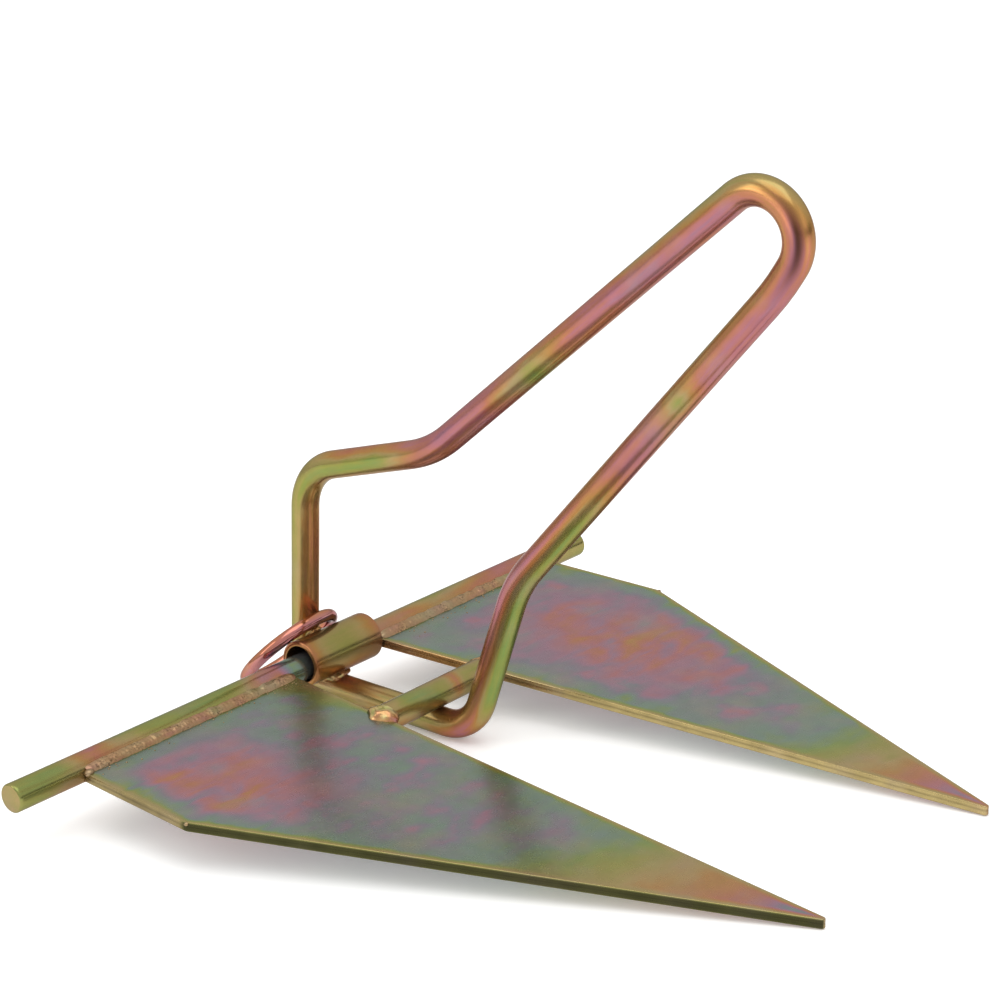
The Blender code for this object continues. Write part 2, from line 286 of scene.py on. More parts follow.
# where the film changes on both flukes, in millimetres
TIP_Y = 290.0
TIP_LOSS = -0.86              # phase lost on the way to the tip
TIP_SLANT_X = 62.0            # x that the slanting bands before the tip turn about
TIP_END = (262.0, 288.0)      # y over which the last change of the film runs
CORNER_X = (52.0, 28.0)       # x and y over which the inner rear corner's own film fades in
CORNER_Y = (58.0, 18.0)
RIM_DEPTH = (0.2, 4.2)        # distance from the edge over which the gold rim ends
PATCH_DEPTH = (3.0, 17.0)     # distance from the edge over which the copper patch fades in


def plate_film(patch, reach, peak, base, corner, tip, seed):
    """Phase over a fluke: a thin gold rim, teal inside it, and a copper patch in wispy clouds.

    patch is the centre of the copper patch, reach its half sizes and peak its phase over base.
    corner is the phase added in the inner rear corner. tip holds the y where the film starts to
    thin out towards the tip, the slant of its bands and the phase added at the very tip.
    """
    tip_start, tip_slant, tip_end = tip

    def depth_from_edge(nodes, across, ahead):
        depths = [
            nodes.total(nodes.times(across, nx), nodes.times(ahead, ny), -offset)
            for nx, ny, offset in edge_lines()
        ]
        depth = depths[0]
        for other in depths[1:]:
            depth = nodes.math("MINIMUM", depth, other)
        return depth

    def distance_from_patch(nodes, across, ahead):
        """0 at the patch's centre and 1 at its half sizes."""
        aside = nodes.math("DIVIDE", nodes.math("SUBTRACT", across, patch[0]), reach[0])
        along = nodes.math("DIVIDE", nodes.math("SUBTRACT", ahead, patch[1]), reach[1])
        squares = nodes.math("ADD", nodes.times(aside, aside), nodes.times(along, along))
        return nodes.math("SQRT", squares)

    def film(nodes, place):
        split = nodes.add("ShaderNodeSeparateXYZ", {0: place})
        across = nodes.math("ABSOLUTE", split.outputs["X"])
        ahead = split.outputs["Y"]
        depth = depth_from_edge(nodes, across, ahead)
        shifted = nodes.add("ShaderNodeVectorMath", {0: place, 1: seed}, operation="ADD").outputs[0]
        drift = nodes.noise(shifted, (30.0, 26.0, 40.0), 2.0, 0.5, 0.4)
        cloud = nodes.noise(shifted, (27.0, 12.0, 40.0), 4.0, 0.5, 0.5)
        patches = nodes.noise(shifted, (19.0, 14.0, 40.0), 2.0, 0.5)
        streaks = nodes.noise(shifted, (7.0, 1.6, 9.0), 3.0, 0.6)
        away = nodes.total(
            distance_from_patch(nodes, across, ahead), nodes.times(drift, 0.45),
            nodes.times(cloud, 0.22),
        )
        centre = nodes.ramp(away, 1.3, 0.1, 0.0, peak)
        blots = nodes.ramp(patches, -0.5, 1.1, 0.0, 0.30)
        front = nodes.total(
            ahead, nodes.times(drift, 14.0),
            nodes.times(nodes.math("SUBTRACT", across, TIP_SLANT_X), tip_slant),
        )
        thinning = nodes.math(
            "ADD", nodes.ramp(front, tip_start, TIP_Y, 0.0, TIP_LOSS, smooth=False),
            nodes.ramp(ahead, *TIP_END, 0.0, tip_end),
        )
        from_rear = nodes.math("ADD", ahead, nodes.times(drift, 10.0))
        behind = nodes.times(
            nodes.ramp(across, *CORNER_X), nodes.ramp(from_rear, *CORNER_Y, 0.0, corner)
        )
        before_tip = nodes.ramp(ahead, tip_start + 20.0, tip_start - 30.0)
        copper = nodes.times(nodes.math("MAXIMUM", centre, blots), before_tip)
        wisps = nodes.times(cloud, nodes.math("ADD", 0.05, nodes.times(centre, 0.75)))
        middle = nodes.total(
            nodes.times(nodes.ramp(depth, *PATCH_DEPTH), copper), wisps,
            nodes.times(drift, 0.06), nodes.times(streaks, 0.015), thinning, behind, base,
        )
        band = nodes.ramp(nodes.total(depth, nodes.times(cloud, 0.9)), *RIM_DEPTH)
        gold = nodes.times(nodes.math("SUBTRACT", 1.0, band), 0.03)
        return nodes.total(nodes.times(band, middle), gold, nodes.attribute("film"), 1.0)
    return film


# ---------------------------------------------------------------- mesh helpers

def finish_piece(name, bm, material, body, node, film=None, tone=None, sharp=40.0):
    """Turn a mesh drawn in the head frame into a piece; it stands for a CAD node if one is given.

    Its points carry the place that the film's patterns follow, the film's phase and its tone, a
    brightness that carries painted light and shade: a sweep has written them already, and film
    and tone are functions of a point and its normal.
    """
    bmesh.ops.recalc_face_normals(bm, faces=bm.faces)
    bm.normal_update()
    layers = bm.verts.layers
    if "place" not in layers.float_vector:
        place = layers.float_vector.new("place")
        for v in bm.verts:
            v[place] = v.co
    for label, value_of in (("film", film), ("tone", tone or (lambda co, normal: 1.0))):
        if value_of is not None and label not in layers.float:
            layer = layers.float.new(label)
            for v in bm.verts:
                v[layer] = value_of(v.co, v.normal)
    mesh = bpy.data.meshes.new(name)
    bm.to_mesh(mesh)
    bm.free()
    mesh.transform(HEAD)
    mesh.shade_smooth()
    mesh.set_sharp_from_angle(angle=math.radians(sharp))
    mesh.materials.append(material)
    piece = bpy.data.objects.new(name, mesh)
    bpy.context.collection.objects.link(piece)
    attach(piece, body)
    if node:
        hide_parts(node)


def rounded_path(corners, step, spacing):
    """Points on straights joined by tangent arcs, with the straights divided evenly."""
    points = [Vector(corners[0][:2])]

    def straight_to(target):
        start = points[-1].copy()
        count = max(1, round((target - start).length / spacing))
        points.extend(start.lerp(target, i / count) for i in range(1, count + 1))

    for before, corner, after in zip(corners, corners[1:], corners[2:]):
        here = Vector(corner[:2])
        arriving = (here - Vector(before[:2])).normalized()
        leaving = (Vector(after[:2]) - here).normalized()
        turn = arriving.angle_signed(leaving)
        radius = corner[2]
        side = 1.0 if turn < 0.0 else -1.0
        to_centre = Vector((-arriving.y, arriving.x)) * side
        start = here - arriving * radius * math.tan(abs(turn) / 2.0)
        centre = start + to_centre * radius
        straight_to(start)
        count = max(2, round(abs(turn) / step))
        for i in range(1, count + 1):
            angle = side * abs(turn) * i / count
            points.append(centre + Matrix.Rotation(angle, 2) @ (start - centre))
    straight_to(Vector(corners[-1][:2]))
    return points


def tube_of_rings(bm, rings, closed=False):
    """Faces between rings of points that follow one another; closed joins the last to the first."""
    pairs = list(zip(rings, rings[1:]))
    if closed:
        pairs.append((rings[-1], rings[0]))
    for lower, upper in pairs:
        for k in range(len(lower)):
            n = (k + 1) % len(lower)
            bm.faces.new((lower[k], lower[n], upper[n], upper[k]))


def sweep(points, radius_at, across, film_at, sides=64, closed=False, painted_light_at=None):
    """Sweep a circle along a flat path; across is the path plane's normal.

    film_at(length, degrees) gives the film's phase, at an angle turned from across outwards,
    and the tone function gives the tone, its painted highlights and painted shade.
    """
    bm = bmesh.new()
    place = bm.verts.layers.float_vector.new("place")
    film = bm.verts.layers.float.new("film")
    tone = bm.verts.layers.float.new("tone")
    rings = []
    count = len(points)
    length = 0.0
    for i, point in enumerate(points):
        back = point - points[i - 1] if closed or i else points[1] - point
        ahead = points[(i + 1) % count] - point if closed or i < count - 1 else back
        tangent = (back.normalized() + ahead.normalized()).normalized()
        normal = across.cross(tangent)
        length += back.length if i else 0.0
        ring = []
        for k in range(sides):
            angle = 2.0 * math.pi * k / sides
            offset = across * math.cos(angle) + normal * math.sin(angle)
            vert = bm.verts.new(point + offset * radius_at(i, point, offset))
            vert[place] = (length, ROD * math.cos(angle), ROD * math.sin(angle))
            vert[film] = film_at(length, math.degrees(angle))
            vert[tone] = painted_light_at(length, math.degrees(angle)) if painted_light_at else 1.0
            ring.append(vert)
        rings.append(ring)
    tube_of_rings(bm, rings, closed)
    if not closed:
        bm.faces.new(rings[0])
        bm.faces.new(rings[-1])
    return bm


CUT = ((0.0, 0.85), (0.12, 0.45), (0.4, 0.15), (0.85, 0.0))   # rounding of a sawn end, mm


def rod_stations(points):
    """Points and radius losses of a rod with both sawn ends rounded over."""
    first = (points[1] - points[0]).normalized()
    last = (points[-2] - points[-1]).normalized()
    stations = [(points[0] + first * depth, loss) for depth, loss in CUT]
    stations += [(p, 0.0) for p in points[1:-1]]
    stations += [(points[-1] + last * depth, loss) for depth, loss in reversed(CUT)]
    return stations


def rod_mesh(points, across, film_at, painted_light_at=None):
    """A rod with sawn ends, slightly uneven and just inside its nominal radius."""
    stations = rod_stations(points)

    def radius_at(i, point, offset):
        wobble = 0.035 * noise.noise(point * 0.05 + offset * 0.6)
        return ROD - stations[i][1] - 0.03 + wobble
    return sweep([p for p, _ in stations], radius_at, across, film_at, painted_light_at=painted_light_at)


def around(degrees, knots):
    """Value at an angle, from (angle, value) knots that go once round."""
    wrapped = knots + ((knots[0][0] + 360.0, knots[0][1]),)
    turned = (degrees - knots[0][0]) % 360.0 + knots[0][0]
    return float(np.interp(turned, [k[0] for k in wrapped], [k[1] for k in wrapped]))


def bell(distance, width):
    """1 at no distance, falling smoothly to a third at the given width."""
    return math.exp(-(distance / width) ** 2)


BAR_STEP = 2.0                # spacing of the rings along a straight bar


def bar_points(x_low, x_high, y, z):
    count = round((x_high - x_low) / BAR_STEP)
    return [Vector((x_low + (x_high - x_low) * i / count, y, z)) for i in range(count + 1)]


# ---------------------------------------------------------------- pieces

# named depths of the film, as phases of its colour cycle
MOSS = 0.30
MAUVE = 0.65
ROSE = 0.71
BLUSH = 0.77
COPPER = 0.83
AMBER = 0.90
GOLD = 1.00
OLIVE = 1.08
GREEN = 1.18

# bands of colour along each bar: x in millimetres, then the film at these angles from straight
# up (0) towards the front (90); colour by the way the surface faces, partly the film's own
# and partly painted reflection
BAR_ANGLES = (-20.0, 30.0, 70.0, 140.0)
STOCK_BANDS = (
    (-170.0, GREEN, GREEN, OLIVE, OLIVE),
    (-158.0, COPPER, GREEN, OLIVE, GOLD),
    (-146.0, ROSE, BLUSH, OLIVE, GOLD),
    (-130.0, COPPER, BLUSH, BLUSH, COPPER),
    (-110.0, ROSE, ROSE, BLUSH, COPPER),
    (-88.0, OLIVE, AMBER, COPPER, COPPER),
    (-68.0, GREEN, GOLD, AMBER, COPPER),
    (-48.0, GOLD, COPPER, COPPER, COPPER),
    (-20.0, GOLD, COPPER, COPPER, COPPER),
    (26.0, MOSS, MOSS, MOSS, MOSS),
    (34.0, ROSE, ROSE, AMBER, AMBER),
    (43.0, COPPER, MAUVE, BLUSH, AMBER),
    (54.0, GREEN, OLIVE, GOLD, AMBER),
    (66.0, GREEN, GREEN, OLIVE, AMBER),
    (100.0, GREEN, GREEN, GOLD, AMBER),
    (120.0, GREEN, GOLD, COPPER, AMBER),
    (135.0, ROSE, BLUSH, COPPER, AMBER),
    (143.0, AMBER, AMBER, GOLD, AMBER),
    (153.0, OLIVE, GREEN, OLIVE, AMBER),
    (165.0, OLIVE, GREEN, GREEN, OLIVE),
)
CROSS_BANDS = (
    (-20.0, GOLD, OLIVE, GOLD, GOLD),
    (-15.0, GOLD, OLIVE, OLIVE, GOLD),
    (-10.0, COPPER, COPPER, COPPER, GOLD),
    (-5.0, GOLD, OLIVE, OLIVE, GOLD),
    (2.0, GOLD, OLIVE, GREEN, GOLD),
    (10.0, OLIVE, GREEN, GREEN, GOLD),
    (18.0, GREEN, GREEN, OLIVE, AMBER),
    (26.0, GOLD, GOLD, GOLD, COPPER),
)
TUBE_BANDS = (
    (-23.0, COPPER, COPPER, COPPER, AMBER),
    (-14.0, GOLD, GOLD, GOLD, COPPER),
    (-5.0, GOLD, OLIVE, OLIVE, BLUSH),
    (4.0, AMBER, OLIVE, OLIVE, COPPER),
    (10.0, AMBER, GOLD, GOLD, AMBER),
    (16.0, COPPER, COPPER, COPPER, AMBER),
)
CAP_PHASE = 1.04              # film on the flat of a sawn end
CAP_DEPTH = 0.05


def band_phase(position, degrees, rows, angles):
    """Film at a position along a bar and an angle round it, blended from the bands' rows."""
    keys = [row[0] for row in rows]
    values = [float(np.interp(position, keys, column)) for column in list(zip(*rows))[1:]]
    return around(degrees, tuple(zip(angles, values)))


def from_up(degrees):
    """Sweep angle, turned from +Y towards -Z, as an angle from straight up towards +Y."""
    return degrees + 90.0


def bar_film(rows, low, high):
    def film_at(length, degrees):
        if min(length, high - low - length) < CAP_DEPTH:
            return CAP_PHASE
        return band_phase(low + length, from_up(degrees), rows, BAR_ANGLES)
    return film_at


def build_stock(material):
    low, high = head_x("stock_rod")
    bm = rod_mesh(bar_points(low, high, 0.0, 0.0), Vector((0.0, 1.0, 0.0)),
                  bar_film(STOCK_BANDS, low, high))
    finish_piece("stock_bar", bm, material, "head", "stock_rod")


def build_cross(material):
    low, high = head_x("cross_rod")
    bm = rod_mesh(bar_points(low, high, CROSS_Y, CROSS_Z), Vector((0.0, 1.0, 0.0)),
                  bar_film(CROSS_BANDS, low, high))
    finish_piece("cross_bar", bm, material, "head", "cross_rod")


def plate_outline():
    """Points round the right fluke, from the middle of its inner edge, and their inward ways."""
    last, first = Vector(PLATE_CORNERS[-1][:2]), Vector(PLATE_CORNERS[0][:2])
    start = (*((last + first) / 2.0), 0.0)
    outline = rounded_path([start, *PLATE_CORNERS, start], math.radians(12.0), 3.0)[:-1]
    inward = []
    for i in range(len(outline)):
        along = (outline[(i + 1) % len(outline)] - outline[i - 1]).normalized()
        inward.append(Vector((-along.y, along.x)))
    return list(zip(outline, inward))


def plate_levels():
    """(inset, z) of the rings up a fluke's edge: an arris, the sheared side and an arris."""
    arris = []
    for k in range(5):
        angle = math.radians(90.0) * k / 4.0
        arris.append((PLATE_ARRIS * (1.0 - math.sin(angle)), PLATE_ARRIS * (1.0 - math.cos(angle))))
    levels = [(inset, PLATE_TOP - drop) for inset, drop in arris]
    for z in (0.0, -0.35, -0.7, -1.05, -1.4, -1.75):
        levels.append((SHEAR_DEPTH * bell(z - SHEAR_Z, SHEAR_WIDTH), z))
    return levels + [(inset, PLATE_BOTTOM + drop) for inset, drop in reversed(arris)]


# painted light and shade on the sheared sides of a fluke, by the way each faces: inner, slanting
# outer, and the two others
INNER_SIDE_PAINTED_LIGHT = 1.12
SLANT_SIDE_PAINTED_SHADE = 0.14
OTHER_SIDES_PAINTED_SHADE = 0.8
# phase added on the inner side up to the cross rod, and on the slanting side
INNER_FILM = -0.10
SLANT_FILM = 0.10


def build_plate(label, side, material):
    """Fluke: an outline swept up through its thickness, with rounded arrises."""
    outline = plate_outline()
    bm = bmesh.new()
    rings = []
    for inset, z in plate_levels():
        rings.append([
            bm.verts.new((side * (p.x + n.x * inset), p.y + n.y * inset, z)) for p, n in outline
        ])
    tube_of_rings(bm, rings)
    bm.faces.new(rings[0])
    bm.faces.new(rings[-1])

    def facing_inward(normal):
        return normal.x * side < -0.5

    def slanting(co, normal):
        return co.y > PLATE_CORNERS[2][1] - 2.0 and normal.x * side > 0.5

    # tone: painted light on the inner side, painted shade on the slanting side and a little on the
    # others; darker along the tear line, with a random roughness
    def tone(co, normal):
        flat = abs(normal.z)
        if facing_inward(normal):
            level = INNER_SIDE_PAINTED_LIGHT
        else:
            level = SLANT_SIDE_PAINTED_SHADE if slanting(co, normal) else OTHER_SIDES_PAINTED_SHADE
        rough = 0.04 * noise.noise(co * 0.8) + 0.05 * noise.noise(co * 0.12)
        level *= 1.0 - 0.4 * bell(co.z - SHEAR_Z, SHEAR_WIDTH) + 4.0 * rough
        return flat + (1.0 - flat) * level

    def film(co, normal):
        if facing_inward(normal) and co.y < CROSS_Y + 12.0:
            return INNER_FILM
        return SLANT_FILM if slanting(co, normal) else 0.0
    finish_piece(f"fluke_{label}", bm, material, "head", f"fluke_plate_{label}",
                 film, tone, sharp=9.0)


TUBE_ROUND = ((0.0, 0.7), (0.12, 0.3), (0.3, 0.1), (0.7, 0.0))   # its outer ends, mm
BORE_ROUND = ((0.0, 0.5), (0.15, 0.2), (0.5, 0.0))               # the rims of its bore, mm
TUBE_SIDES = 72
TUBE_STEPS = 14
BORE_PAINTED_SHADE = 0.35              # painted shade inside the bore


def build_tube(material):
    """Hinge tube: its outside and its bore as one closed profile, turned about the x axis."""
    low, high = head_x("hinge_tube")

    def mirrored(profile):
        return [(high + low - x, r) for x, r in reversed(profile)]

    outer = [(low + depth, TUBE_RADIUS - cut) for depth, cut in TUBE_ROUND]
    middle = [(low + (high - low) * i / TUBE_STEPS, TUBE_RADIUS) for i in range(1, TUBE_STEPS)]
    rim = [(high - depth, TUBE_BORE + cut) for depth, cut in BORE_ROUND]
    bm = bmesh.new()
    rings = []
    for x, r in outer + middle + mirrored(outer) + rim + mirrored(rim):
        ring = []
        for k in range(TUBE_SIDES):
            angle = 2.0 * math.pi * k / TUBE_SIDES
            ring.append(bm.verts.new((x, r * math.cos(angle), TUBE_LIFT + r * math.sin(angle))))
        rings.append(ring)
    tube_of_rings(bm, rings, closed=True)

    def film(co, normal):
        angle = math.degrees(math.atan2(normal.y, normal.z))
        return band_phase(co.x, angle, TUBE_BANDS, BAR_ANGLES)

    # painted shade inside the bore
    def tone(co, normal):
        inside = math.hypot(co.y, co.z - TUBE_LIFT) < TUBE_BORE + 0.1
        return BORE_PAINTED_SHADE if inside else 1.0
    finish_piece("sleeve", bm, material, "shank", "hinge_tube", film, tone)


# bands along the shank: millimetres from the end of the rear leg, then the film at angles
# turned from the +X side (0) to the outside of the loop (90); colour by the way the surface
# faces, partly the film's own and partly painted reflection
SHANK_ANGLES = (-60.0, -15.0, 15.0, 45.0, 75.0)
SHANK_BANDS = (
    (30.0, COPPER, GOLD, OLIVE, OLIVE, OLIVE),
    (65.0, COPPER, GOLD, OLIVE, OLIVE, OLIVE),
    (90.0, GOLD, GREEN, OLIVE, OLIVE, GOLD),
    (110.0, AMBER, GREEN, OLIVE, COPPER, COPPER),
    (132.0, AMBER, GREEN, GREEN, AMBER, COPPER),
    (150.0, BLUSH, BLUSH, AMBER, ROSE, BLUSH),
    (170.0, BLUSH, ROSE, MAUVE, ROSE, ROSE),
    (195.0, ROSE, ROSE, ROSE, ROSE, BLUSH),
    (212.0, BLUSH, GOLD, BLUSH, BLUSH, COPPER),
    (230.0, GREEN, GREEN, GOLD, COPPER, COPPER),
    (250.0, COPPER, BLUSH, COPPER, COPPER, COPPER),
    (270.0, COPPER, ROSE, ROSE, ROSE, BLUSH),
    (295.0, ROSE, MAUVE, ROSE, AMBER, GOLD),
    (330.0, ROSE, MAUVE, COPPER, GOLD, GREEN),
    (350.0, ROSE, ROSE, AMBER, OLIVE, OLIVE),
    (370.0, COPPER, COPPER, COPPER, AMBER, GOLD),
    (390.0, COPPER, COPPER, ROSE, BLUSH, COPPER),
    (412.0, AMBER, COPPER, ROSE, MAUVE, ROSE),
    (455.0, GOLD, COPPER, ROSE, ROSE, ROSE),
    (463.0, AMBER, AMBER, AMBER, COPPER, BLUSH),
    (471.0, AMBER, GOLD, GREEN, GOLD, BLUSH),
    (479.0, COPPER, COPPER, AMBER, COPPER, BLUSH),
    (488.0, BLUSH, ROSE, ROSE, ROSE, COPPER),
    (512.0, AMBER, ROSE, ROSE, ROSE, ROSE),
    (532.0, AMBER, COPPER, AMBER, GOLD, AMBER),
    (550.0, COPPER, BLUSH, OLIVE, GREEN, OLIVE),
    (575.0, COPPER, ROSE, AMBER, GREEN, GOLD),
    (605.0, ROSE, MAUVE, AMBER, GREEN, GREEN),
    (630.0, AMBER, BLUSH, COPPER, GREEN, GREEN),
    (650.0, GOLD, AMBER, COPPER, GREEN, GREEN),
    (670.0, BLUSH, AMBER, ROSE, ROSE, BLUSH),
    (692.0, GOLD, OLIVE, OLIVE, OLIVE, GOLD),
    (712.0, GOLD, GOLD, AMBER, GOLD, GOLD),
    (732.0, COPPER, GOLD, OLIVE, GOLD, GOLD),
)


def shank_film(length, degrees):
    return band_phase(length, degrees, SHANK_BANDS, SHANK_ANGLES)


def shank_painted_reflection(length, degrees):
    """Painted reflection where the loop's bend was stretched: a dark streak between two painted
    highlights.
    """
    dark = bell(length - 388.0, 14.0) * bell(degrees - 30.0, 22.0)
    inner = bell(length - 373.0, 13.0) * bell(degrees - 12.0, 9.0)
    outer = bell(length - 384.0, 8.0) * bell(degrees - 66.0, 10.0)
    return 1.0 - 0.82 * dark + 1.2 * inner + 0.5 * outer


def build_shank(material):
    path = rounded_path(SHANK_CORNERS, math.radians(3.0), 3.0)
    points = [Vector((SHANK_X, p.x, p.y)) for p in path]
    bm = rod_mesh(points, Vector((1.0, 0.0, 0.0)), shank_film, shank_painted_reflection)
    finish_piece("shank_bar", bm, material, "shank", "shank_rod")


RING_STEPS = 144


def build_ring(material):
    """Slip ring, leaning over the tube and slightly askew."""
    yaw = Matrix.Rotation(RING_YAW, 3, "Z")
    sideways = yaw @ Vector((1.0, 0.0, 0.0))
    uphill = yaw @ Vector((0.0, math.cos(RING_SLOPE), math.sin(RING_SLOPE)))
    points = []
    for i in range(RING_STEPS):
        angle = 2.0 * math.pi * i / RING_STEPS
        offset = sideways * math.cos(angle) + uphill * math.sin(angle)
        points.append(RING_CENTRE + offset * RING_RADIUS)

    def radius_at(i, point, offset):
        return RING_WIRE - 0.02 + 0.02 * noise.noise(point * 0.15)

    def film_at(length, degrees):
        return 0.745 + 0.06 * math.cos(math.radians(degrees))
    bm = sweep(points, radius_at, sideways.cross(uphill), film_at, sides=36, closed=True)
    finish_piece("loose_ring", bm, material, "ring", "slip_ring")


SEAM_START = 27.0             # x of a bead's ends
SEAM_END = 142.6
SEAM_STEP = 0.4
SEAM_SIDES = 12
SEAM_SIZE = 3.2               # height of a bead on the stock and its width on the plate
SEAM_PITCH = 2.1              # length of one scale of weld metal
SEAM_OVERLAP = 0.4            # depth of a bead below the surface of the stock


def build_seam(label, side, up, material):
    """Fillet bead laid in overlapping scales between the stock and a face of a fluke."""
    reach = ROD - SEAM_OVERLAP
    floor = (PLATE_TOP if up > 0.0 else PLATE_BOTTOM) - up * 0.35
    foot = math.asin(floor / reach)
    count = round((SEAM_END - SEAM_START) / SEAM_STEP)
    bm = bmesh.new()
    rings = []
    for i in range(count + 1):
        x = SEAM_START + (SEAM_END - SEAM_START) * i / count
        taper = min(1.0, (x - SEAM_START + 0.6) / 4.0, (SEAM_END - x + 0.6) / 4.0)
        seed = Vector((x * 0.11, side * 7.0, up * 5.0))
        swell = 1.0 + 0.22 * noise.noise(seed * 2.0)
        size = SEAM_SIZE * swell * (0.35 + 0.65 * math.sqrt(taper))
        crest = foot + up * size / reach
        top = Vector((reach * math.cos(crest), reach * math.sin(crest)))
        toe = Vector((math.sqrt(reach ** 2 - floor ** 2) + size, floor))
        root = Vector((reach * math.cos(foot) - 0.6, floor))
        ring = [bm.verts.new((side * x, root.x, root.y))]
        for k in range(SEAM_SIDES + 1):
            share = k / SEAM_SIDES
            chord = top.lerp(toe, share)
            bulge = math.sin(math.pi * share)
            # each scale's edge bows back towards the start of the bead
            along = x + 0.9 * bulge + 0.5 * noise.noise(seed * 3.0)
            scale = 0.19 * (1.0 - (along % SEAM_PITCH) / SEAM_PITCH) ** 1.5
            lump = 0.28 * noise.noise(Vector((x * 0.45, share * 2.0, side + up * 3.0)))
            height = bulge * (0.85 + scale + lump) * size / 4.0
            ring.append(bm.verts.new(
                (side * x, chord.x + height * 0.62, chord.y + up * height * 0.78)
            ))
        rings.append(ring)
    tube_of_rings(bm, rings)
    bm.faces.new(rings[0])
    bm.faces.new(rings[-1])
    where = "top" if up > 0.0 else "under"
    finish_piece(f"seam_{label}_{where}", bm, material, "head",
                 f"weld_fluke_{label}_{where}", weld_phase, sharp=60.0)


def weld_phase(co, normal):
    return 0.88 + 0.22 * noise.noise(co * 0.12) + 0.06 * normal.z


def build_blob(name, centre, size, body, node, material, seed):
    """Lump of weld metal: a rippled, uneven ball stretched to the given half sizes."""
    bm = bmesh.new()
    bmesh.ops.create_icosphere(bm, subdivisions=5, radius=1.0)
    for v in bm.verts:
        way = v.co.normalized()
        lump = 0.16 * noise.noise(way * 1.6 + seed)
        ripple = 0.03 * math.sin(7.0 * way.z + 5.0 * noise.noise(way * 2.0 + seed))
        grain = 0.03 * noise.noise(way * 4.0 + seed)
        spread = 0.93 + lump + ripple * 0.5 + grain
        v.co = Vector(way[i] * size[i] * spread + centre[i] for i in range(3))

    def film(co, normal):
        return 0.98 + 0.22 * noise.noise(co * 0.35 + seed) - 0.12 * normal.y

    # painted highlights: bright patches at random, and lighter where the lump faces up
    def tone(co, normal):
        return 1.0 + 0.9 * max(0.0, noise.noise(co * 0.3 - seed)) + 0.35 * max(0.0, normal.z)
    finish_piece(name, bm, material, body, node, film, tone, sharp=80.0)


def inner_edge_x(y):
    (x0, y0, _), (x1, y1, _) = PLATE_CORNERS[0], PLATE_CORNERS[3]
    return x0 + (x1 - x0) * (y - y0) / (y1 - y0)


CROSS_WELD_SIZE = (6.0, 8.0, 6.9)   # half sizes of the lumps at the ends of the cross rod


def build_welds(material, lump):
    for label, side in (("right", 1.0), ("left", -1.0)):
        for up in (1.0, -1.0):
            build_seam(label, side, up, material)
        centre = Vector((side * (inner_edge_x(CROSS_Y) - 0.2), CROSS_Y, CROSS_Z))
        build_blob(f"cross_weld_{label}", centre, CROSS_WELD_SIZE, "head",
                   f"weld_cross_{label}", lump, Vector((side * 3.0, 1.0, 2.0)))
    for label in ("rear", "front"):
        node = f"weld_{label}_leg"
        low, high = (HEAD.inverted() @ Vector(corner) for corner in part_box(node))
        centre = (low + high) / 2.0
        size = [abs(high[i] - low[i]) / 2.0 for i in range(3)]
        build_blob(f"leg_weld_{label}", centre, size, "shank", node, lump,
                   Vector((5.0, 2.0, len(label))))


DROPLETS = 46                 # on each fluke
BEAD_TOE_Y = 9.6              # front edge of the beads, where the droplets start
SPATTER_PHASE = 0.97


def build_spatter(material):
    """Droplets beside the top beads, a lump at each bead's end and a burr at the outer corner."""
    rng = np.random.default_rng(11)
    burr = (PLATE_CORNERS[2][0] - 0.3, PLATE_CORNERS[2][1] + 0.4, 0.2, 0.95, 1.0)
    lump = (142.4, 7.6, PLATE_TOP, 1.9, 2.0)
    bm = bmesh.new()
    for side in (1.0, -1.0):
        spots = []            # (x, y, z, least radius, most radius)
        for _ in range(DROPLETS):
            away = min(9.0, float(rng.exponential(1.8)))
            x = float(rng.uniform(28.0, 142.0))
            spots.append((x, BEAD_TOE_Y + away, PLATE_TOP, 0.16, 0.42))
        for x, y, z, least, most in spots + [burr, lump]:
            radius = float(rng.uniform(least, most))
            shape = Matrix.Diagonal((radius * 1.2, radius, radius * 0.8, 1.0))
            place = Matrix.Translation((side * x, y, z))
            bmesh.ops.create_icosphere(bm, subdivisions=2, radius=1.0, matrix=place @ shape)
    finish_piece("weld_spatter", bm, material, "head", None,
                 lambda co, normal: SPATTER_PHASE, sharp=80.0)


def build_object():
    along = (6.0, 1.0, 1.0)
    rod = plating("rod_plating", rod_film(0.05, 0.05), 0.93, 0.22, streak=along, fade=0.1)
    shank = plating("shank_plating", rod_film(0.07, 0.05), 0.98, 0.24, streak=along)
    tube = plating("tube_plating", rod_film(0.03, 0.02), 0.85, 0.22)
    ring = plating("ring_plating", rod_film(0.03, 0.06), 1.12, 0.12, streak=along, metal=0.97)
    weld = plating("weld_plating", rod_film(0.06, 0.06), 0.94, 0.32, grain=0.02, fade=0.4,
                   pitted=True)
    lump = plating("weld_lump_plating", rod_film(0.05, 0.05), 0.95, 0.20, fade=0.1)
    right_film = plate_film(patch=(116.0, 54.0), reach=(46.0, 62.0), peak=0.36, base=0.355,
                            corner=-0.25, tip=(186.0, 0.42, -0.38), seed=(0.0, 0.0, 0.0))
    left_film = plate_film(patch=(96.0, 92.0), reach=(62.0, 88.0), peak=0.37, base=0.355,
                           corner=0.0, tip=(200.0, -0.5, -0.12), seed=(40.0, 90.0, 0.0))
    right = plating("right_fluke_plating", right_film, 1.01, 0.26, fade=0.20)
    left = plating("left_fluke_plating", left_film, 1.05, 0.26, fade=0.20)
    build_stock(rod)
    build_cross(rod)
    build_plate("right", 1.0, right)
    build_plate("left", -1.0, left)
    build_tube(tube)
    build_shank(shank)
    build_ring(ring)
    build_welds(weld, lump)
    build_spatter(weld)


# ---------------------------------------------------------------- stage

FLOOR_RADIUS = 14.0           # metres, as everything on the stage
FLOOR_Z = -0.0002             # just clear of the anchor's lowest points
FLOOR_SHADES = ((0.93, 0.93, 0.93, 1.0), (0.96, 0.96, 0.955, 1.0))
FLOOR_GLOW = 0.22             # keeps the paper near white, as in the photo


